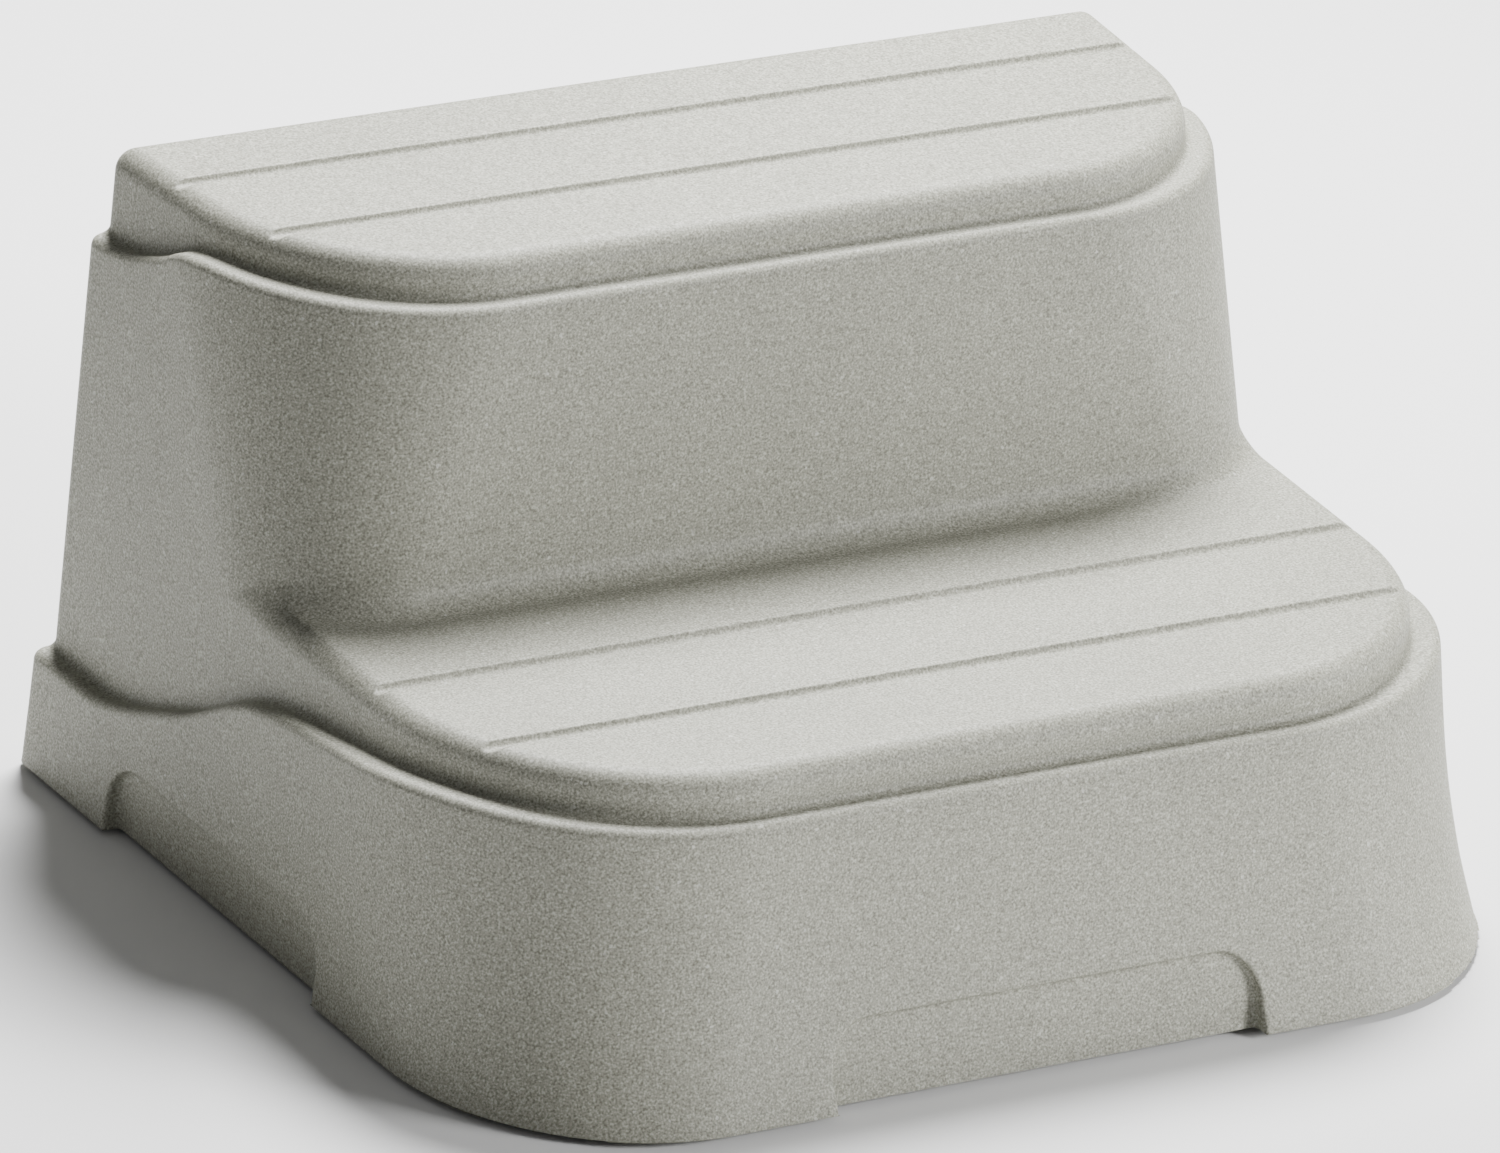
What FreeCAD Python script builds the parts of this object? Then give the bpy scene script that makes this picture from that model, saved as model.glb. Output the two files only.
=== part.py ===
"""Two-tread spa step: an open-bottomed rotomoulded polyethylene shell on rubber feet, with a
stiffening board bolted up under each tread. Millimetres, +Z up, front towards -Y. The origin is
the middle of the bounding box in plan, on the floor under the feet."""
import FreeCAD, Part
import math
import os

V = FreeCAD.Vector
doc = FreeCAD.newDocument("spa_step")

# ---------------------------------------------------------------- driving dimensions
DIMENSIONS = {
    "overall_width": 712.0,
    "overall_depth": 556.0,
    "overall_height": 381.0,
    "lower_tread_height": 190.5,
    "wall": 6.0,
    "rim_clearance": 4.0,
    "rear_corner_radius": 12.5,
    # how much each side narrows per millimetre towards the front
    "skirt_taper": 0.018,
    "wall_taper": 0.038,
    "top_pad_taper": 0.08,
    # skirt, from the rim up to the lower shoulder
    "base_corner_radius": 140.0,
    "skirt_top_inset": 5.0,
    "skirt_top_front": 507.0,
    "skirt_top_radius": 166.0,
    # walls above the lower shoulder
    "ledge_width": 11.0,
    "front_ledge_width": 12.0,
    "side_wall_lean": 2.5,
    "lower_pad_front": 495.0,
    "lower_pad_radius": 152.0,
    "riser_foot_front": 250.0,
    "riser_top_front": 226.0,
    "riser_foot_radius": 78.0,
    "riser_top_radius": 137.0,
    "pad_draft": 4.0,
    "pad_edge_radius": 11.0,
    "ledge_edge_radius": 4.0,
    # shoulder waves: ledge height at the rear and at the front
    "lower_ledge_rear": 73.0,
    "lower_ledge_front": 165.0,
    "upper_ledge_rear": 328.0,
    "upper_ledge_front": 358.0,
    # anti-slip grooves across the treads
    "groove_width": 10.0,
    "groove_depth": 2.5,
    "first_groove": 62.0,
    "second_groove": 140.0,
    "third_groove": 329.0,
    "fourth_groove": 413.0,
    # grip recesses along the rim
    "recess_depth": 11.0,
    "recess_height": 46.0,
    "recess_corner_radius": 28.0,
    "recess_lip": 4.0,
    "front_recess_length": 280.0,
    "side_recess_length": 232.0,
    "side_recess_middle": 219.0,
    # inward flange inside the rim
    "flange_underside": 10.0,
    "flange_thickness": 6.0,
    "flange_width": 40.0,
    # feet and their bolts
    "foot_diameter": 28.0,
    "foot_base_diameter": 25.0,
    "foot_height": 10.0,
    "foot_inset": 26.0,
    "middle_foot_from_rear": 375.0,
    "front_foot_beside_recess": 42.0,
    "foot_counterbore_diameter": 13.0,
    "foot_counterbore_depth": 5.0,
    "foot_bolt_diameter": 5.0,
    "foot_bolt_head_diameter": 10.0,
    "foot_bolt_head_height": 3.5,
    "foot_bolt_length": 20.0,
    "foot_washer_diameter": 15.0,
    "foot_washer_thickness": 1.2,
    "foot_nut_flats": 8.0,
    "foot_nut_height": 5.0,
    # tread boards and their bolts
    "board_thickness": 15.0,
    "board_half_length": 268.0,
    "upper_board_rear": 20.0,
    "upper_board_front": 192.0,
    "lower_board_rear": 262.0,
    "lower_board_front": 462.0,
    "board_front_radius": 95.0,
    "board_rear_radius": 12.0,
    "boss_diameter": 18.0,
    "boss_drop": 12.0,
    "board_hole_diameter": 20.0,
    "insert_diameter": 9.0,
    "insert_length": 12.0,
    "board_bolt_diameter": 6.0,
    "board_bolt_length": 14.0,
    "board_bolt_head_diameter": 12.0,
    "board_bolt_head_height": 4.0,
    "board_washer_diameter": 30.0,
    "board_washer_thickness": 2.0,
    "board_bolt_half_span": 190.0,
    "board_bolt_edge": 40.0,
}

sheet = doc.addObject("Spreadsheet::Sheet", "Dimensions")
for row, (alias, value) in enumerate(DIMENSIONS.items(), start=1):
    sheet.set(f"A{row}", alias)
    sheet.set(f"B{row}", str(value))
    sheet.setAlias(f"B{row}", alias)
doc.recompute()


def dim(alias):
    return float(getattr(sheet, alias))


HALF_WIDTH = dim("overall_width") / 2
REAR = dim("overall_depth") / 2
TOP = dim("overall_height")
TREAD = dim("lower_tread_height")
RIM = dim("rim_clearance")
WALL = dim("wall")
CRUMB = 1000.0      # volume below which a solid is only a crumb left over by a cut
REAR_STOCK = 0.5    # made past the rear plane, then trimmed off to leave one flat face


# ---------------------------------------------------------------- plan outlines
def rounded_outline(corners, height):
    """Closed wire through (x, y, radius) corners at one height, each corner an arc."""
    edges = []
    starts, ends = [], []
    count = len(corners)
    for i in range(count):
        x, y, radius = corners[i]
        here = V(x, y, height)
        before = V(corners[i - 1][0], corners[i - 1][1], height) - here
        after = V(corners[(i + 1) % count][0], corners[(i + 1) % count][1], height) - here
        before.normalize()
        after.normalize()
        half_angle = before.getAngle(after) / 2
        cut = radius / math.tan(half_angle)
        middle = (before + after).normalize() * (radius / math.sin(half_angle) - radius)
        starts.append(here + before * cut)
        ends.append(here + after * cut)
        edges.append(Part.Arc(starts[i], here + middle, ends[i]).toShape())
    loop = []
    for i in range(count):
        loop.append(edges[i])
        loop.append(Part.LineSegment(ends[i], starts[(i + 1) % count]).toShape())
    return Part.Wire(loop)


def d_outline(half_width, taper, front, front_radius, height, inset=0.0):
    """D-shaped plan: flat rear, sides that narrow towards the front by the taper, large front
    corners. front is the distance from the rear plane; inset moves every side inwards."""
    rear_half = half_width - inset
    front_half = rear_half - taper * (front - inset)
    back = REAR + REAR_STOCK - inset
    nose = REAR - front + inset
    large = front_radius - inset
    small = max(dim("rear_corner_radius") - inset, 2.0)
    corners = [(-rear_half, back, small), (rear_half, back, small),
               (front_half, nose, large), (-front_half, nose, large)]
    return rounded_outline(corners, height)


def loft(sections, inset=0.0):
    """Solid through D outlines given as (half_width, taper, front, radius, height)."""
    wires = [d_outline(*section, inset) for section in sections]
    return Part.makeLoft(wires, True, True)


def below_wave(rear, front, rise_points, reach):
    """Everything under a wavy ledge, seen from the side: level at the rear height, an S rise through
    (distance from rear, share of the rise) points, then level at the front height out to reach."""
    x = -HALF_WIDTH - 50
    rise = [V(x, REAR - back, rear + share * (front - rear)) for back, share in rise_points]
    curve = Part.BSplineCurve()
    curve.interpolate(Points=rise, InitialTangent=V(0, -1, 0), FinalTangent=V(0, -1, 0))
    floor = -50.0
    path = [V(x, REAR - reach, front), V(x, REAR - reach, floor), V(x, REAR + 60, floor),
            V(x, REAR + 60, rear), rise[0]]
    lines = [Part.LineSegment(a, b).toShape() for a, b in zip([rise[-1]] + path, path)]
    face = Part.Face(Part.Wire([curve.toShape()] + lines))
    return face.extrude(V(2 * HALF_WIDTH + 100, 0, 0))


def round_top(solid, radius):
    """Round the outer edge of whatever faces upwards on a block, flat or wavy."""
    def looks_up(face):
        u0, u1, v0, v1 = face.ParameterRange
        return face.normalAt((u0 + u1) / 2, (v0 + v1) / 2).z > 0.7
    edges = []
    for edge in solid.Edges:
        facing = [looks_up(face) for face in solid.ancestorsOfType(edge, Part.Face)]
        if facing.count(True) == 1:
            edges.append(edge)
    return solid.makeFillet(radius, edges)


# ---------------------------------------------------------------- shell volumes
BURIED = 15.0       # how far a block runs down inside the one it stands on
TRIM = 4.0          # how far it is made past its wavy ledge before being cut to it
SIDE_FOOT = HALF_WIDTH - dim("skirt_top_inset") - dim("ledge_width")
SKIRT_TOP = dim("lower_ledge_front") + TRIM
BLOCK_TOP = dim("upper_ledge_front") + TRIM
# the skirt flares out towards the floor: (height, share of the whole flare)
SKIRT_FLARE = ((RIM, 1.0), (45.0, 0.62), (95.0, 0.30), (SKIRT_TOP, 0.0))
# ledge waves: (distance from the rear, share of the rise)
LOWER_RISE = ((60, 0.0), (160, 0.32), (230, 0.72), (300, 0.87), (430, 1.0))
UPPER_RISE = ((10, 0.0), (44, 0.15), (77, 0.55), (98, 0.90), (130, 1.0))


def rim_half_at(back):
    """Half width of the rim at a distance from the rear."""
    return HALF_WIDTH - dim("skirt_taper") * back


def side_at(height):
    """Half width of the side wall, which leans in evenly from the lower shoulder to the top."""
    low = dim("lower_ledge_rear")
    return SIDE_FOOT - dim("side_wall_lean") * (height - low) / (TOP - low)


def riser_at(height):
    """Outline of the upper block: its riser slopes, and its corners tighten towards the tread."""
    share = (BLOCK_TOP - height) / (BLOCK_TOP - TREAD)
    front = dim("riser_top_front") * (1 - share) + dim("riser_foot_front") * share
    radius = dim("riser_top_radius") * (1 - share) + dim("riser_foot_radius") * share
    return (side_at(height), dim("wall_taper"), front, radius, height)


def shell_volume(inset=0.0):
    """The filled outer form, or with an inset the hollow inside it."""
    skirt = []
    for height, share in SKIRT_FLARE:
        flare_in = 1 - share
        radius = dim("skirt_top_radius") * flare_in + dim("base_corner_radius") * share
        front = dim("overall_depth") * share + dim("skirt_top_front") * flare_in
        skirt.append((HALF_WIDTH - dim("skirt_top_inset") * flare_in, dim("skirt_taper"),
                      front, radius, height))
    skirt_block = loft(skirt, inset).common(below_wave(
        dim("lower_ledge_rear") - inset, dim("lower_ledge_front") - inset, LOWER_RISE,
        dim("overall_depth") + 50))

    low = dim("lower_ledge_rear") - BURIED
    pad_front, pad_radius = dim("lower_pad_front"), dim("lower_pad_radius")
    taper = dim("wall_taper")
    lower_pad = loft([(side_at(low), taper, pad_front + dim("pad_draft"), pad_radius, low),
                      (side_at(TREAD), taper, pad_front, pad_radius, TREAD - inset)], inset)

    block = loft([riser_at(low), riser_at(BLOCK_TOP)], inset).common(below_wave(
        dim("upper_ledge_rear") - inset, dim("upper_ledge_front") - inset, UPPER_RISE,
        dim("overall_depth")))

    ledge, front_ledge = dim("ledge_width"), dim("front_ledge_width")
    pad_low, taper = dim("upper_ledge_rear") - BURIED, dim("top_pad_taper")
    pad_front = dim("riser_top_front") - front_ledge
    pad_radius = dim("riser_top_radius") - front_ledge
    top_pad = loft([
        (side_at(pad_low) - ledge, taper, pad_front + dim("pad_draft"), pad_radius, pad_low),
        (side_at(TOP) - ledge, taper, pad_front, pad_radius, TOP - inset)], inset)

    pad_edge = dim("pad_edge_radius") - inset
    if inset == 0:
        block = round_top(block.Solids[0], dim("ledge_edge_radius"))
        skirt_block = round_top(skirt_block.Solids[0], dim("ledge_edge_radius"))
    form = skirt_block
    for upper in (round_top(lower_pad, pad_edge), block, round_top(top_pad, pad_edge)):
        form = form.fuse(upper)
    return form.removeSplitter()


# ---------------------------------------------------------------- grip recesses and grooves
def skirt_lean(flare):
    """How far a skirt wall with this whole flare has leaned in at the top of a recess."""
    height = RIM + dim("recess_height")
    for (low, more), (high, less) in zip(SKIRT_FLARE, SKIRT_FLARE[1:]):
        if low <= height < high:
            share = more + (less - more) * (height - low) / (high - low)
    return flare * (1 - share)


def recess(length, lean, grow=0.0):
    """A scoop out of the rim, made at the origin: it runs along X and opens towards -Y, with its
    floor sloping in under the wall. grow thickens it all round, for the hollow behind it."""
    half = length / 2 + grow
    height = RIM + dim("recess_height") + grow
    radius = dim("recess_corner_radius") + grow
    outline = []
    for x, z, r in ((-half, -60, 5), (half, -60, 5), (half, height, radius), (-half, height, radius)):
        outline.append((x, z, r))
    face = Part.Face(rounded_outline(outline, 0))
    scoop = face.extrude(V(0, 0, 200))
    scoop.rotate(V(0, 0, 0), V(1, 0, 0), 90)
    scoop.translate(V(0, 100, 0))
    low, high = dim("recess_depth") + grow, lean + dim("recess_lip") + grow
    side = [V(-half, low, -60), V(-half, low, RIM), V(-half, high, height), V(-half, -100, height),
            V(-half, -100, -60)]
    wedge = Part.Face(Part.makePolygon(side + [side[0]])).extrude(V(2 * half, 0, 0))
    return scoop.common(wedge)


def all_recesses(grow=0.0):
    front = recess(dim("front_recess_length"), skirt_lean(dim("overall_depth") - dim("skirt_top_front")), grow)
    front.translate(V(0, -REAR, 0))
    scoops = [front]
    for sign in (-1, 1):
        scoop = recess(dim("side_recess_length"), skirt_lean(dim("skirt_top_inset")), grow)
        scoop.rotate(V(0, 0, 0), V(0, 0, 1), 90 * sign)
        scoop.translate(V(sign * rim_half_at(dim("side_recess_middle")),
                          REAR - dim("side_recess_middle"), 0))
        scoops.append(scoop)
    return scoops


def grooves():
    """Bars that cut the anti-slip grooves right across both treads."""
    width, depth = dim("groove_width"), dim("groove_depth")
    bars = []
    rows = (("first_groove", TOP), ("second_groove", TOP), ("third_groove", TREAD), ("fourth_groove", TREAD))
    for alias, surface in rows:
        corner = V(-HALF_WIDTH, REAR - dim(alias) - width / 2, surface - depth)
        bars.append(Part.makeBox(2 * HALF_WIDTH, width, 2 * depth, corner))
    return bars


# ---------------------------------------------------------------- where the boards are bolted up
BOARDS = {
    "upper": (TOP, dim("upper_board_rear"), dim("upper_board_front")),
    "lower": (TREAD, dim("lower_board_rear"), dim("lower_board_front")),
}


def bolt_places(tread):
    """(x, y) of a board's four bolts, numbered from the rear left."""
    surface, rear, front = BOARDS[tread]
    edge, span = dim("board_bolt_edge"), dim("board_bolt_half_span")
    rows = (REAR - rear - edge, REAR - front + edge)
    return [(side * span, y) for y in rows for side in (-1, 1)]


def drill(diameter, x, y, low, high):
    return Part.makeCylinder(diameter / 2, high - low, V(x, y, low))


# ---------------------------------------------------------------- feet
REAR_FOOT, MIDDLE_FOOT = dim("foot_inset"), dim("middle_foot_from_rear")
FRONT_FOOT_X = dim("front_recess_length") / 2 + dim("front_foot_beside_recess")
FOOT_PLACES = {}
for side, sign in (("left", -1), ("right", 1)):
    for row, back in (("rear", REAR_FOOT), ("middle", MIDDLE_FOOT)):
        FOOT_PLACES[f"{row}_{side}"] = (sign * (rim_half_at(back) - dim("foot_inset")), REAR - back)
    FOOT_PLACES[f"front_{side}"] = (sign * FRONT_FOOT_X, dim("foot_inset") - REAR)


# ---------------------------------------------------------------- step shell
def step_shell():
    flange_low = dim("flange_underside")
    flange_top = flange_low + dim("flange_thickness")
    base = (HALF_WIDTH, dim("skirt_taper"), dim("overall_depth"), dim("base_corner_radius"))
    flange = loft([(*base, flange_low), (*base, flange_top)]).cut(
        loft([(*base, flange_low), (*base, flange_top)], dim("flange_width")))
    hollow = shell_volume(WALL).cut(all_recesses(WALL) + [flange])
    behind = Part.makeBox(2 * HALF_WIDTH, WALL, 2 * TOP, V(-HALF_WIDTH, REAR, -TOP))
    shell = shell_volume().cut(all_recesses() + grooves() + [hollow, behind])

    bosses, insert_holes = [], []
    for tread, (surface, _, _) in BOARDS.items():
        skin = surface - WALL
        for x, y in bolt_places(tread):
            low = skin - dim("boss_drop")
            bosses.append(drill(dim("boss_diameter"), x, y, low, skin + 1))
            insert_holes.append(drill(dim("insert_diameter"), x, y, low, skin))
    shell = shell.fuse(bosses).cut(insert_holes)
    bolt_holes = [drill(dim("foot_bolt_diameter"), x, y, flange_low, flange_top)
                  for x, y in FOOT_PLACES.values()]
    return shell.cut(bolt_holes).removeSplitter()


parts = []


def keep(item, label):
    item.Label = label
    parts.append(item)
    return item


shell_feature = doc.addObject("Part::Feature", "StepShell")
shell_solids = [solid for solid in step_shell().Solids if solid.Volume > CRUMB]
if len(shell_solids) != 1:
    raise RuntimeError("the shell came out in more than one piece")
shell_feature.Shape = shell_solids[0]
keep(shell_feature, "step_shell")


# ---------------------------------------------------------------- small parametric helpers
def cylinder(diameter, height, z="0"):
    """Cylinder on the Z axis; all three sizes are expressions on the spreadsheet."""
    item = doc.addObject("Part::Cylinder", "Cylinder")
    item.setExpression("Radius", f"({diameter}) / 2")
    item.setExpression("Height", height)
    item.setExpression("Placement.Base.z", z)
    return item


def hexagon(flats, height, z="0"):
    item = doc.addObject("Part::Prism", "Hexagon")
    item.Polygon = 6
    item.setExpression("Circumradius", f"({flats}) / sqrt(3)")
    item.setExpression("Height", height)
    item.setExpression("Placement.Base.z", z)
    return item


def cut(base, tool):
    item = doc.addObject("Part::Cut", "Cut")
    item.Base, item.Tool = base, tool
    return item


def fuse(*shapes):
    item = doc.addObject("Part::MultiFuse", "Fuse")
    item.Shapes = list(shapes)
    return item


def at(item, x, y, z):
    item.Placement = FreeCAD.Placement(V(x, y, z), FreeCAD.Rotation())
    return item


D = "Dimensions."


def tube(outside, inside, height):
    return cut(cylinder(D + outside, D + height), cylinder(D + inside, D + height))


def socket_bolt(prefix):
    """Low-head bolt with a hexagon socket, head down: the head's upper face is at z = 0."""
    head_height, head = D + prefix + "_head_height", D + prefix + "_head_diameter"
    body = fuse(cylinder(head, head_height, "-" + head_height),
                cylinder(D + prefix + "_diameter", D + prefix + "_length"))
    return cut(body, hexagon(head + " * 0.45", head_height + " * 0.6", "-" + head_height))


# ---------------------------------------------------------------- feet and their fasteners
def rubber_foot():
    body = doc.addObject("Part::Cone", "FootBody")
    body.setExpression("Radius1", D + "foot_base_diameter / 2")
    body.setExpression("Radius2", D + "foot_diameter / 2")
    body.setExpression("Height", D + "foot_height")
    bored = cut(body, cylinder(D + "foot_bolt_diameter", D + "foot_height"))
    return cut(bored, cylinder(D + "foot_counterbore_diameter", D + "foot_counterbore_depth"))


FLANGE_TOP = dim("flange_underside") + dim("flange_thickness")
for place, (x, y) in FOOT_PLACES.items():
    keep(at(rubber_foot(), x, y, 0), f"rubber_foot_{place}")
    keep(at(socket_bolt("foot_bolt"), x, y, dim("foot_counterbore_depth")), f"foot_bolt_{place}")
    washer = tube("foot_washer_diameter", "foot_bolt_diameter", "foot_washer_thickness")
    keep(at(washer, x, y, FLANGE_TOP), f"foot_washer_{place}")
    nut = cut(hexagon(D + "foot_nut_flats", D + "foot_nut_height"),
              cylinder(D + "foot_bolt_diameter", D + "foot_nut_height"))
    keep(at(nut, x, y, FLANGE_TOP + dim("foot_washer_thickness")), f"foot_locknut_{place}")


# ---------------------------------------------------------------- tread boards and their fasteners
def tread_board(tread):
    surface, rear, front = BOARDS[tread]
    rear_name, front_name = f"{D}{tread}_board_rear", f"{D}{tread}_board_front"
    plank = doc.addObject("Part::Box", "Plank")
    plank.setExpression("Length", "2 * " + D + "board_half_length")
    plank.setExpression("Width", f"{front_name} - {rear_name}")
    plank.setExpression("Height", D + "board_thickness")
    plank.setExpression("Placement.Base.x", "-" + D + "board_half_length")
    plank.setExpression("Placement.Base.y", f"{D}overall_depth / 2 - {front_name}")
    doc.recompute()
    corners = []
    for number, edge in enumerate(plank.Shape.Edges, start=1):
        middle = edge.CenterOfMass
        if abs(edge.tangentAt(edge.FirstParameter).z) > 0.9:
            at_front = middle.y < plank.Shape.CenterOfMass.y
            radius = dim("board_front_radius" if at_front else "board_rear_radius")
            corners.append((number, radius, radius))
    board = doc.addObject("Part::Fillet", "RoundedPlank")
    board.Base = plank
    board.Edges = corners
    for x, y in bolt_places(tread):
        hole = cylinder(D + "board_hole_diameter", D + "board_thickness")
        hole.Placement.Base = V(x, y, 0)
        board = cut(board, hole)
    return at(board, 0, 0, surface - WALL - dim("board_thickness"))


for tread, (surface, _, _) in BOARDS.items():
    keep(tread_board(tread), f"{tread}_tread_board")
    skin = surface - WALL
    board_low = skin - dim("board_thickness")
    for number, (x, y) in enumerate(bolt_places(tread), start=1):
        insert = tube("insert_diameter", "board_bolt_diameter", "insert_length")
        keep(at(insert, x, y, skin - dim("boss_drop")), f"{tread}_board_insert_{number}")
        washer = tube("board_washer_diameter", "board_bolt_diameter", "board_washer_thickness")
        washer_low = board_low - dim("board_washer_thickness")
        keep(at(washer, x, y, washer_low), f"{tread}_board_washer_{number}")
        keep(at(socket_bolt("board_bolt"), x, y, washer_low), f"{tread}_board_bolt_{number}")


# ---------------------------------------------------------------- check and export
doc.recompute()
for item in doc.Objects:
    if "Invalid" in item.State or "Error" in item.State:
        raise RuntimeError(f"{item.Label} failed: {item.State}")
os.makedirs("parts", exist_ok=True)
for item in parts:
    shape = item.Shape
    if shape.isNull() or not shape.isValid() or len(shape.Solids) != 1:
        raise RuntimeError(f"{item.Label} is not one valid solid")
    shape.exportStep(f"parts/{item.Label}.step")
    print(f"{item.Label}: {shape.Volume / 1000:.2f} cm3")
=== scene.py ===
"""Looks of the two-tread spa step. The moulded shell is a smooth surface worked out from one
distance field, so that its coves, rounded edges and grooves run into each other as they do on a
moulding; the inside of the shell, the feet, boards and fasteners are the CAD parts."""
import math

import bpy
import numpy as np
from mathutils import Matrix, Vector


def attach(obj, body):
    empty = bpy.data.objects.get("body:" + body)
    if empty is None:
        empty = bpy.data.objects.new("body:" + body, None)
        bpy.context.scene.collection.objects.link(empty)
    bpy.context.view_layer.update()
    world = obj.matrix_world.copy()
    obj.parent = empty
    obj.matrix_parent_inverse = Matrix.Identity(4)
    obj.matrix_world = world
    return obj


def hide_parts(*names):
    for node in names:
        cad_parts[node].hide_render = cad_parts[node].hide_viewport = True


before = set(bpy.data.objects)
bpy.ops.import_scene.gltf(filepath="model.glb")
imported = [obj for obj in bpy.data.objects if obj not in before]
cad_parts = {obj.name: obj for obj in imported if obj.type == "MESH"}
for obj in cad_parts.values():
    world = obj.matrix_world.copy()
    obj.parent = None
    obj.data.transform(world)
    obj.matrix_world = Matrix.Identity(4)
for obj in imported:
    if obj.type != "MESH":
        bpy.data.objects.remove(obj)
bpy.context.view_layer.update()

# ---------------------------------------------------------------- sizes of the shell, millimetres
HALF_WIDTH, REAR = 356.0, 278.0
TOP, TREAD, RIM = 381.0, 190.5, 4.0
SIDE, SIDE_LEAN = 340.0, 2.5
SKIRT_TAPER, WALL_TAPER, TOP_TAPER = 0.018, 0.038, 0.08      # narrowing towards the front, per mm
LEDGE, FRONT_LEDGE = 11.0, 12.0
REAR_CORNER = 12.5
PAD_EDGE, LEDGE_EDGE, COVE, RISER_COVE = 14.0, 5.0, 5.0, 14.0
SKIRT_TOP, SKIRT_IN = 169.0, 5.0
SKIRT_FRONT, SKIRT_RADIUS = (556.0, 507.0), (140.0, 166.0)       # at the rim, at the shoulder
PAD_FRONT, PAD_RADIUS = 495.0, 152.0
RISER_FRONT, RISER_RADIUS = (250.0, 226.0), (78.0, 137.0)        # at the tread, at the top
BLOCK_TOP = 362.0
GROOVES = ((62.0, TOP), (140.0, TOP), (329.0, TREAD), (413.0, TREAD))
GROOVE_RADIUS, GROOVE_RISE, GROOVE_LIP = 4.4, 0.9, 0.9           # bar radius, its centre above the tread
RECESS_HEIGHT, RECESS_CORNER, RECESS_DEPTH, RECESS_LIP = 46.0, 28.0, 11.0, 4.0
RECESS_FOLD, RECESS_EDGE = 3.0, 2.0         # rounding along its floor, and where it meets the skin
FRONT_RECESS, SIDE_RECESS, SIDE_RECESS_MIDDLE = 280.0, 232.0, 219.0
# (height, share of the flare), (distance from the rear, height of the ledge)
FLARE = ((RIM, 1.0), (45.0, 0.62), (95.0, 0.30), (SKIRT_TOP, 0.0))
LOWER_LEDGE = ((60.0, 73.0), (160.0, 102.4), (230.0, 139.2), (300.0, 153.0), (430.0, 165.0))
UPPER_LEDGE = ((10.0, 328.0), (44.0, 332.5), (77.0, 344.5), (98.0, 355.0), (130.0, 358.0))
MM_PER_M = 1000

# ---------------------------------------------------------------- fineness of its mesh, millimetres
COARSE = (5.0, 4.0, 5.0)                 # usual gap between grid lines along X, Y and Z
# stretches with closer lines: (from, to, gap)
CLOSER_X = ((100, 150, 2.5), (170, 300, 3.0), (300, 365, 1.5))
CLOSER_Y = ((-285, -198, 2.0), (-198, -60, 3.0), (-60, -25, 2.5), (24, 82, 1.6), (82, 180, 3.0),
            (262, 285, 1.5))
CLOSER_Z = ((RIM - 1, RIM + 1, 2.0), (30, 70, 2.5), (66, 176, 1.5), (176, 196, 1.0),
            (196, 210, 2.0), (322, 370, 1.5), (370, 386, 0.9))
GROOVE_REACH, GROOVE_GAP = 8, 1.0        # closer lines either side of a groove
KEPT_SHARE = 0.42                        # of the faces, after thinning
PROBE = 0.05                             # step for measuring a slope
LONGEST_MOVE = 1.5                       # of a point that settles on to the skin, in one round
SEAM_SNAP, RIM_SNAP, CLEANUP = 2.4, 0.9, 0.02


# ---------------------------------------------------------------- the shell's distance field
def curve_through(points, level_ends):
    """Smooth function of one variable through the points, flat beyond them if level_ends."""
    at, value = np.array(points, dtype=np.float64).T
    slope = np.zeros(len(at))
    slope[1:-1] = (value[2:] - value[:-2]) / (at[2:] - at[:-2])
    if not level_ends:
        slope[0] = (value[1] - value[0]) / (at[1] - at[0])
        slope[-1] = (value[-1] - value[-2]) / (at[-1] - at[-2])

    def curve(x):
        x = np.clip(x, at[0], at[-1])
        i = np.clip(np.searchsorted(at, x, side="right") - 1, 0, len(at) - 2)
        span = at[i + 1] - at[i]
        t = (x - at[i]) / span
        rise = value[i] * (2 * t**3 - 3 * t**2 + 1) + value[i + 1] * (3 * t**2 - 2 * t**3)
        return rise + span * (slope[i] * (t**3 - 2 * t**2 + t) + slope[i + 1] * (t**3 - t**2))
    return curve


flare_share = curve_through(FLARE, False)
lower_ledge = curve_through(LOWER_LEDGE, True)
upper_ledge = curve_through(UPPER_LEDGE, True)


def both(a, b, radius):
    """Inside both, with the edge between them rounded."""
    u, v = np.maximum(radius + a, 0), np.maximum(radius + b, 0)
    return np.minimum(-radius, np.maximum(a, b)) + np.sqrt(u * u + v * v)


def either(a, b, radius):
    """Inside either, with the crease between them filled to a cove."""
    u, v = np.maximum(radius - a, 0), np.maximum(radius - b, 0)
    return np.maximum(radius, np.minimum(a, b)) - np.sqrt(u * u + v * v)


def corner(across, along, radius):
    """Distance to a quarter plane with a rounded corner."""
    u, v = across + radius, along + radius
    return np.minimum(np.maximum(u, v), 0) + np.hypot(np.maximum(u, 0), np.maximum(v, 0)) - radius


def d_plan(x, back, half, taper, front, radius):
    """Distance to the D-shaped plan: flat rear, sides that narrow to the front, large corners."""
    side = x - half + taper * back
    return np.maximum(corner(side, back - front, radius), corner(side, -back, REAR_CORNER))


def scoop(across, depth, z, length, lean):
    """Distance to one grip recess. depth is how far in from the rim's outer edge."""
    high = RIM + RECESS_HEIGHT
    opening = corner(across - length / 2, z - high, RECESS_CORNER)
    at_top = lean + RECESS_LIP
    floor = RECESS_DEPTH + (at_top - RECESS_DEPTH) * (z - RIM) / RECESS_HEIGHT
    return both(opening, depth - floor, RECESS_FOLD)


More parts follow.
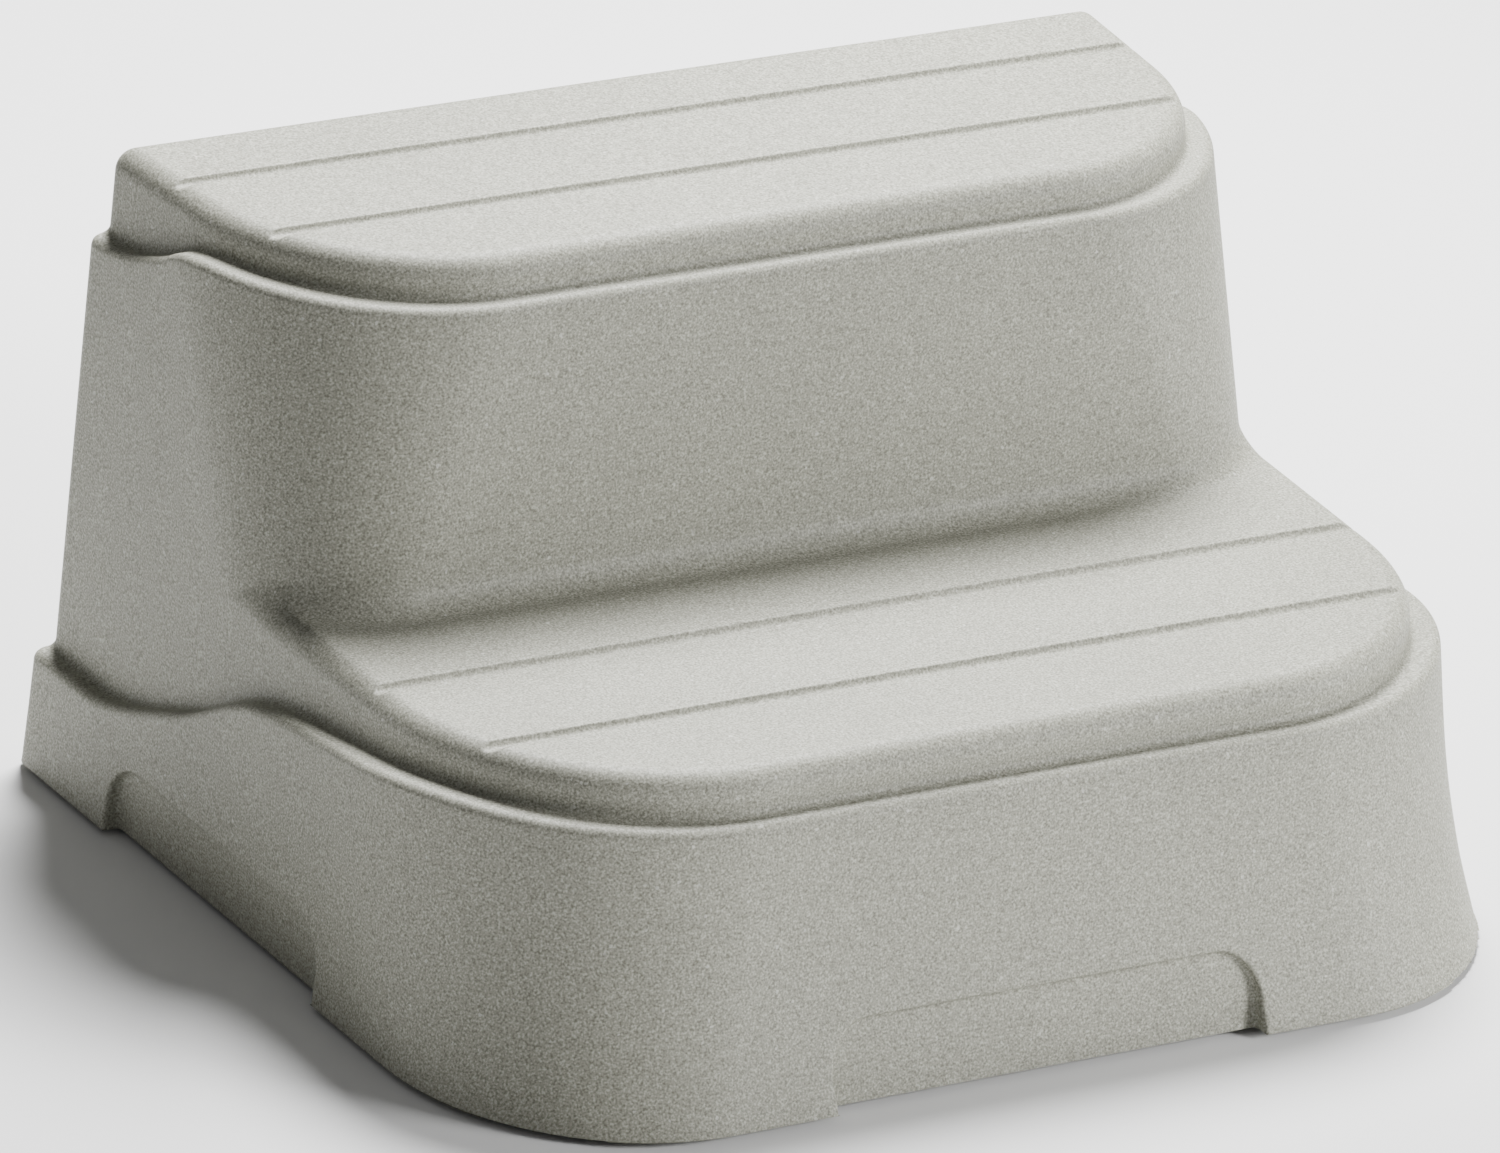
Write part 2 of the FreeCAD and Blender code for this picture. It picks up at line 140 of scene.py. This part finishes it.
def field(x, y, z):
    """Rough distance to the outer skin of the shell, negative inside it. It has no bottom."""
    x = np.abs(x)
    back = REAR - y
    side = SIDE - SIDE_LEAN * (z - LOWER_LEDGE[0][1]) / (TOP - LOWER_LEDGE[0][1])
    share = flare_share(z)

    def flared(pair):
        return pair[1] + (pair[0] - pair[1]) * share

    low, high = lower_ledge(back), upper_ledge(back)
    skirt = d_plan(x, back, HALF_WIDTH - SKIRT_IN * (1 - share), SKIRT_TAPER,
                   flared(SKIRT_FRONT), flared(SKIRT_RADIUS))
    pad = d_plan(x, back, side, WALL_TAPER, PAD_FRONT, PAD_RADIUS)
    down = np.clip((BLOCK_TOP - z) / (BLOCK_TOP - TREAD), 0, 1.2)
    riser = d_plan(x, back, side, WALL_TAPER, RISER_FRONT[1] + (RISER_FRONT[0] - RISER_FRONT[1]) * down,
                   RISER_RADIUS[1] + (RISER_RADIUS[0] - RISER_RADIUS[1]) * down)
    top = d_plan(x, back, side - LEDGE, TOP_TAPER, RISER_FRONT[1] - FRONT_LEDGE,
                 RISER_RADIUS[1] - FRONT_LEDGE)

    over_low, over_high = z - low, z - high
    shoulder = np.maximum(both(either(over_low, pad, COVE), skirt, LEDGE_EDGE), over_low - COVE - 1)
    tread = both(either(z - TREAD, riser, RISER_COVE), pad, PAD_EDGE)
    tread = np.maximum(tread, z - TREAD - RISER_COVE - 1)
    block = both(either(over_high, top, COVE), riser, LEDGE_EDGE)
    block = np.maximum(block, over_high - COVE - 1)
    crown = both(top, z - TOP, PAD_EDGE)
    shell = np.minimum(np.minimum(shoulder, tread), np.minimum(block, crown))

    for groove_back, surface in GROOVES:
        bar = np.hypot(back - groove_back, z - surface - GROOVE_RISE) - GROOVE_RADIUS
        shell = both(shell, -bar, GROOVE_LIP)
    lean = 1 - flare_share(RIM + RECESS_HEIGHT)
    front_lean, side_lean = (SKIRT_FRONT[0] - SKIRT_FRONT[1]) * lean, SKIRT_IN * lean
    front = scoop(x, y + REAR, z, FRONT_RECESS, front_lean)
    rim_half = HALF_WIDTH - SKIRT_TAPER * back
    beside = scoop(np.abs(back - SIDE_RECESS_MIDDLE), rim_half - x, z, SIDE_RECESS, side_lean)
    return both(both(shell, -front, RECESS_EDGE), -beside, RECESS_EDGE)


def slope_of(points):
    """Gradient of the field at an array of points."""
    x, y, z = points.T
    return np.column_stack([
        field(x + PROBE, y, z) - field(x - PROBE, y, z),
        field(x, y + PROBE, z) - field(x, y - PROBE, z),
        field(x, y, z + PROBE) - field(x, y, z - PROBE)]) / (2 * PROBE)


def settle(points, rounds):
    """Moves points onto the skin. Points on the middle plane and on the rim stay on them."""
    points = points.copy()
    touching, least_slope = 1e-4, 0.05
    middle, bottom = np.abs(points[:, 0]) < touching, points[:, 2] < RIM + touching
    for _ in range(rounds):
        slope = slope_of(points)
        slope[middle, 0] = 0
        slope[bottom, 2] = 0
        size = np.maximum((slope * slope).sum(axis=1), least_slope)
        move = slope * (field(*points.T) / size)[:, None]
        points -= np.clip(move, -LONGEST_MOVE, LONGEST_MOVE)
    return points


# ---------------------------------------------------------------- meshing the field
def graded(start, stop, coarse, spans):
    """Grid lines from start to stop; each span is (low, high, step) where they are closer."""
    lines = [start]
    while lines[-1] < stop:
        steps = [step for low, high, step in spans if low <= lines[-1] < high]
        lines.append(lines[-1] + min(steps + [coarse]))
    return np.array(lines)


def grid_lines():
    """Grid lines along X, Y and Z over one half of the shell, a little past it all round."""
    by_grooves = tuple((REAR - back - GROOVE_REACH, REAR - back + GROOVE_REACH, GROOVE_GAP)
                       for back, _ in GROOVES)
    x = graded(-2.5, 359, COARSE[0], CLOSER_X)
    y = graded(-282, 281, COARSE[1], CLOSER_Y + by_grooves)
    z = graded(RIM - 1, 384, COARSE[2], CLOSER_Z)
    return x, y, z


def surface_net(x, y, z):
    """Quads round the cells that the skin passes through, and one point in each such cell."""
    value = field(x[:, None, None], y[None, :, None], z[None, None, :])
    inside = value < 0
    cells = tuple(n - 1 for n in value.shape)
    total, count = np.zeros(cells + (3,), dtype=np.float32), np.zeros(cells, dtype=np.float32)
    lines = (x, y, z)
    crossings = []
    for axis in range(3):
        low = [slice(None)] * 3
        high = [slice(None)] * 3
        low[axis], high[axis] = slice(None, -1), slice(1, None)
        crossed = inside[tuple(low)] != inside[tuple(high)]
        place = np.argwhere(crossed)
        a, b = value[tuple(low)][crossed], value[tuple(high)][crossed]
        point = np.column_stack([lines[k][place[:, k]] for k in range(3)])
        gap = lines[axis][place[:, axis] + 1] - lines[axis][place[:, axis]]
        point[:, axis] += gap * a / (a - b)
        crossings.append((axis, place, a < 0))
        others = [k for k in range(3) if k != axis]
        for shift in ((0, 0), (-1, 0), (0, -1), (-1, -1)):
            cell = place.copy()
            cell[:, others[0]] += shift[0]
            cell[:, others[1]] += shift[1]
            fits = np.all((cell >= 0) & (cell < cells), axis=1)
            index = tuple(cell[fits].T)
            np.add.at(total, index, point[fits])
            np.add.at(count, index, 1)
    used = count > 0
    points = total[used] / count[used][:, None]
    number = np.full(cells, -1)
    number[used] = np.arange(used.sum())

    quads = []
    for axis, place, from_inside in crossings:
        others = [(axis + 1) % 3, (axis + 2) % 3]
        ring = []
        for shift in ((-1, -1), (0, -1), (0, 0), (-1, 0)):
            cell = place.copy()
            cell[:, others[0]] += shift[0]
            cell[:, others[1]] += shift[1]
            ring.append(cell)
        fits = np.all([np.all((cell >= 0) & (cell < cells), axis=1) for cell in ring], axis=0)
        quad = np.column_stack([number[tuple(cell[fits].T)] for cell in ring])
        flip = ~from_inside[fits]
        quad[flip] = quad[flip][:, ::-1]
        quads.append(quad)
    return points.astype(np.float64), np.vstack(quads)


def mesh_from(name, points, faces):
    """A mesh from an array of points and a list of faces."""
    mesh = bpy.data.meshes.new(name)
    mesh.from_pydata(points.tolist(), [], faces)
    mesh.update()
    return mesh


def thinned(points, quads):
    """The same surface with fewer faces, most of them kept where it curves."""
    scratch = bpy.data.objects.new("scratch", mesh_from("scratch", points, quads.tolist()))
    bpy.context.scene.collection.objects.link(scratch)
    decimate = scratch.modifiers.new("thin", "DECIMATE")
    decimate.ratio = KEPT_SHARE
    graph = bpy.context.evaluated_depsgraph_get()
    mesh = bpy.data.meshes.new_from_object(scratch.evaluated_get(graph))
    bpy.data.objects.remove(scratch)
    corners = np.empty(len(mesh.vertices) * 3)
    mesh.vertices.foreach_get("co", corners)
    faces = [tuple(face.vertices) for face in mesh.polygons]
    bpy.data.meshes.remove(mesh)
    return corners.reshape(-1, 3), faces


def outer_skin():
    """Points and faces of the whole outer skin, worked out on one half and mirrored."""
    points, quads = surface_net(*grid_lines())
    points[points[:, 0] < SEAM_SNAP, 0] = 0
    points[points[:, 2] < RIM + RIM_SNAP, 2] = RIM
    points = settle(points, rounds=5)
    points, faces = thinned(points, quads)
    points[np.abs(points[:, 0]) < CLEANUP, 0] = 0
    points[points[:, 2] < RIM + CLEANUP, 2] = RIM
    points = settle(points, rounds=2)

    seam = points[:, 0] == 0
    mirror = np.empty(len(points), dtype=int)
    mirror[seam] = np.flatnonzero(seam)
    mirror[~seam] = len(points) + np.arange((~seam).sum())
    other = points[~seam] * (-1, 1, 1)
    far_faces = [tuple(int(mirror[i]) for i in reversed(face)) for face in faces]
    return np.vstack([points, other]), faces + far_faces


def inner_skin(node):
    """Points, faces and corner normals of the CAD shell without its outer skin. A face belongs to
    the inside if a place a little in front of it is still within the outer skin."""
    in_front, within, sharp_angle = 3, -1, math.radians(28)
    mesh = node.data
    points = np.empty(len(mesh.vertices) * 3)
    mesh.vertices.foreach_get("co", points)
    points = points.reshape(-1, 3) * MM_PER_M
    centre = np.array([face.center for face in mesh.polygons]) * MM_PER_M
    normal = np.array([face.normal for face in mesh.polygons])
    hidden = field(*(centre + in_front * normal).T) < within
    faces = [tuple(mesh.polygons[i].vertices) for i in np.flatnonzero(hidden)]
    used = np.unique(np.concatenate([np.array(face) for face in faces]))
    number = np.full(len(points), -1)
    number[used] = np.arange(len(used))
    faces = [tuple(int(number[i]) for i in face) for face in faces]
    copy = mesh_from("inside", points[used], faces)
    copy.polygons.foreach_set("use_smooth", [True] * len(faces))
    copy.set_sharp_from_angle(angle=sharp_angle)
    normals = [tuple(corner_normal.vector) for corner_normal in copy.corner_normals]
    bpy.data.meshes.remove(copy)
    return points[used], faces, normals


def build_shell():
    """The moulded shell: smooth outer skin and CAD inside, in place of the CAD shell."""
    points, faces = outer_skin()
    slope = slope_of(points)
    normals = slope / np.linalg.norm(slope, axis=1)[:, None]
    inner_points, inner_faces, inner_normals = inner_skin(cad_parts["step_shell"])
    corner_normals = [tuple(normals[i]) for face in faces for i in face] + inner_normals
    shifted = [tuple(i + len(points) for i in face) for face in inner_faces]
    all_points = np.vstack([points, inner_points]) / MM_PER_M
    mesh = mesh_from("moulded_shell", all_points, faces + shifted)
    mesh.polygons.foreach_set("use_smooth", [True] * len(mesh.polygons))
    mesh.normals_split_custom_set(corner_normals)
    shell = bpy.data.objects.new("moulded_shell", mesh)
    bpy.context.scene.collection.objects.link(shell)
    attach(shell, "root")
    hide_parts("step_shell")
    return shell


# ---------------------------------------------------------------- materials
class Recipe:
    """A material being built: short calls for the nodes that these finishes need."""

    def __init__(self, name, roughness, metallic=0.0):
        self.material = bpy.data.materials.new(name)
        self.material.use_nodes = True
        self.tree = self.material.node_tree
        self.shader = self.tree.nodes["Principled BSDF"]
        self.shader.inputs["Roughness"].default_value = roughness
        self.shader.inputs["Metallic"].default_value = metallic
        self.place = self.tree.nodes.new("ShaderNodeTexCoord").outputs["Object"]

    def link(self, out, socket):
        self.tree.links.new(out, socket)

    def stretched(self, scale):
        node = self.tree.nodes.new("ShaderNodeMapping")
        node.inputs["Scale"].default_value = scale
        self.link(self.place, node.inputs["Vector"])
        return node.outputs["Vector"]

    def noise(self, scale, detail=2.0, vector=None, distortion=0.0):
        node = self.tree.nodes.new("ShaderNodeTexNoise")
        node.inputs["Scale"].default_value = scale
        node.inputs["Detail"].default_value = detail
        node.inputs["Distortion"].default_value = distortion
        self.link(vector or self.place, node.inputs["Vector"])
        return node.outputs["Fac"]

    def grains(self, scale):
        node = self.tree.nodes.new("ShaderNodeTexVoronoi")
        node.inputs["Scale"].default_value = scale
        self.link(self.place, node.inputs["Vector"])
        return node.outputs["Color"]

    def ramp(self, value, stops):
        node = self.tree.nodes.new("ShaderNodeValToRGB")
        elements = node.color_ramp.elements
        while len(elements) < len(stops):
            elements.new(0.5)
        for element, (position, colour) in zip(elements, stops):
            element.position = position
            element.color = (*colour, 1) if isinstance(colour, tuple) else (colour,) * 3 + (1,)
        self.link(value, node.inputs["Fac"])
        return node.outputs["Color"]

    def mix(self, factor, a, b, blend="MIX"):
        node = self.tree.nodes.new("ShaderNodeMix")
        node.data_type = "RGBA"
        node.blend_type = blend
        for socket, value in (("Factor", factor), ("A", a), ("B", b)):
            inputs = [s for s in node.inputs if s.name == socket and s.enabled]
            if isinstance(value, (float, int)):
                inputs[0].default_value = value
            elif isinstance(value, tuple):
                inputs[0].default_value = (*value, 1)
            else:
                self.link(value, inputs[0])
        return [s for s in node.outputs if s.enabled][0]

    def colour(self, value):
        self.link(value, self.shader.inputs["Base Color"])

    def roughness(self, value):
        self.link(value, self.shader.inputs["Roughness"])

    def bump(self, value, strength, distance):
        node = self.tree.nodes.new("ShaderNodeBump")
        node.inputs["Strength"].default_value = strength
        node.inputs["Distance"].default_value = distance
        self.link(value, node.inputs["Height"])
        self.link(node.outputs["Normal"], self.shader.inputs["Normal"])


def shell_plastic():
    """Moulded polyethylene with a fine stone-like speckle all the way through."""
    recipe = Recipe("speckled_polyethylene", 0.6)
    fine = recipe.ramp(recipe.noise(760, 3), (
        (0.33, (0.140, 0.137, 0.105)), (0.46, (0.246, 0.246, 0.200)),
        (0.56, (0.300, 0.300, 0.246)), (0.68, (0.450, 0.446, 0.382))))
    clouds = recipe.ramp(recipe.noise(9, 2), ((0.35, 0.95), (0.65, 1.0)))
    base = recipe.mix(1.0, fine, clouds, "MULTIPLY")
    grain = recipe.grains(620)
    dark = recipe.ramp(grain, ((0.0, 0.4), (0.07, 0.4), (0.10, 0.0), (1.0, 0.0)))
    light = recipe.ramp(grain, ((0.0, 0.0), (0.93, 0.0), (0.96, 0.35), (1.0, 0.35)))
    base = recipe.mix(dark, base, (0.14, 0.135, 0.11))
    recipe.colour(recipe.mix(light, base, (0.80, 0.80, 0.76)))
    recipe.roughness(recipe.ramp(recipe.noise(300, 2), ((0.3, 0.54), (0.7, 0.68))))
    recipe.bump(recipe.noise(1100, 2), 0.25, 0.0002)
    return recipe.material


def foot_rubber():
    """Nearly black rubber with a faintly uneven surface."""
    recipe = Recipe("moulded_rubber", 0.8)
    recipe.colour(recipe.ramp(recipe.noise(160, 4), ((0.35, 0.018), (0.7, 0.042))))
    recipe.bump(recipe.noise(900, 3), 0.3, 0.0002)
    return recipe.material


def board_wood():
    """Sealed plywood: long grain on the faces, thin plies at the edges."""
    recipe = Recipe("sealed_plywood", 0.5)
    grain = recipe.noise(9, 6, recipe.stretched((0.6, 9, 9)), 1.2)
    face = recipe.ramp(grain, ((0.30, (0.30, 0.17, 0.075)), (0.50, (0.52, 0.33, 0.165)),
                               (0.70, (0.66, 0.46, 0.26))))
    plies = recipe.noise(420, 1, recipe.stretched((0.02, 0.02, 1)))
    recipe.colour(recipe.mix(0.35, face, recipe.ramp(plies, ((0.42, 0.55), (0.58, 1.0))), "MULTIPLY"))
    recipe.roughness(recipe.ramp(grain, ((0.3, 0.42), (0.7, 0.6))))
    recipe.bump(grain, 0.25, 0.0004)
    return recipe.material


def brushed(name, dark, bright, roughness):
    """Turned metal: fine marks round the axis and a slight change of tone."""
    recipe = Recipe(name, roughness, 1.0)
    marks = recipe.noise(900, 3, recipe.stretched((1, 1, 7)))
    recipe.colour(recipe.ramp(marks, ((0.3, dark), (0.7, bright))))
    recipe.roughness(recipe.ramp(marks, ((0.3, roughness - 0.06), (0.7, roughness + 0.1))))
    recipe.bump(marks, 0.12, 0.0001)
    return recipe.material


def finish_nodes(shell):
    """Gives the shell its plastic and each CAD node the finish that its name asks for."""
    plastic = shell_plastic()
    finishes = {
        "rubber_foot": foot_rubber(),
        "tread_board": board_wood(),
        "insert": brushed("turned_brass", (0.50, 0.33, 0.12), (0.74, 0.54, 0.25), 0.35),
        "_bolt_": brushed("stainless_bolt", (0.46, 0.46, 0.47), (0.66, 0.66, 0.67), 0.3),
        "washer": brushed("stainless_washer", (0.50, 0.50, 0.51), (0.68, 0.68, 0.69), 0.38),
        "locknut": brushed("stainless_nut", (0.44, 0.44, 0.45), (0.62, 0.62, 0.63), 0.33),
    }
    shell.data.materials.append(plastic)
    for name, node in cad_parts.items():
        material = next((finish for key, finish in finishes.items() if key in name), plastic)
        for slot in node.material_slots:
            slot.link = "OBJECT"
            slot.material = material


# ---------------------------------------------------------------- floor, lights and camera
def plain(name, colour):
    """A matt grey with hardly any change of tone."""
    recipe = Recipe(name, 0.9)
    recipe.shader.inputs["Specular IOR Level"].default_value = 0.1
    recipe.colour(recipe.ramp(recipe.noise(2, 2), ((0.3, colour), (0.7, colour * 1.01))))
    return recipe.material


def build_floor():
    size = 30.0
    mesh = bpy.data.meshes.new("floor")
    mesh.from_pydata([(-size, -size, 0), (size, -size, 0), (size, size, 0), (-size, size, 0)], [],
                     [(0, 1, 2, 3)])
    floor = bpy.data.objects.new("floor", mesh)
    bpy.context.scene.collection.objects.link(floor)
    mesh.materials.append(plain("pale_floor", 0.78))


def area_light(name, place, target, size, power):
    data = bpy.data.lights.new(name, "AREA")
    data.shape = "DISK"
    data.size = size
    data.energy = power
    light = bpy.data.objects.new(name, data)
    bpy.context.scene.collection.objects.link(light)
    light.location = place
    light.rotation_euler = (Vector(target) - Vector(place)).to_track_quat("-Z", "Y").to_euler()


def build_lights():
    world = bpy.data.worlds.new("soft_studio")
    world.use_nodes = True
    world.node_tree.nodes["Background"].inputs["Color"].default_value = (1.0, 1.0, 1.0, 1)
    world.node_tree.nodes["Background"].inputs["Strength"].default_value = 0.2
    bpy.context.scene.world = world
    middle = (0, 0, 0.15)
    area_light("overhead", (0.7, 1.1, 2.4), middle, 1.1, 290)
    area_light("front_right", (2.4, -2.2, 1.1), middle, 1.1, 150)


def build_camera():
    """Long lens, from the front left and above, turned a little about its own axis."""
    azimuth, elevation, roll = (math.radians(angle) for angle in (-33.44, 24.59, 5.94))
    distance, shift_right, shift_up = 7.872, -0.0439, -0.0045
    middle = Vector((0, 0, 0.19))
    right = Vector((math.cos(azimuth), math.sin(azimuth), 0))
    back = Vector((math.sin(azimuth) * math.cos(elevation), -math.cos(azimuth) * math.cos(elevation),
                   math.sin(elevation)))
    up = back.cross(right)
    turned_right = right * math.cos(roll) + up * math.sin(roll)
    turned_up = up * math.cos(roll) - right * math.sin(roll)
    target = middle + turned_right * shift_right + turned_up * shift_up
    data = bpy.data.cameras.new("camera")
    data.sensor_width = 36.0
    data.lens = 336.0
    data.clip_end = 100.0
    camera = bpy.data.objects.new("camera", data)
    bpy.context.scene.collection.objects.link(camera)
    axes = Matrix((turned_right, turned_up, back)).transposed().to_4x4()
    camera.matrix_world = Matrix.Translation(target + back * distance) @ axes
    bpy.context.scene.camera = camera


finish_nodes(build_shell())
build_floor()
build_lights()
build_camera()
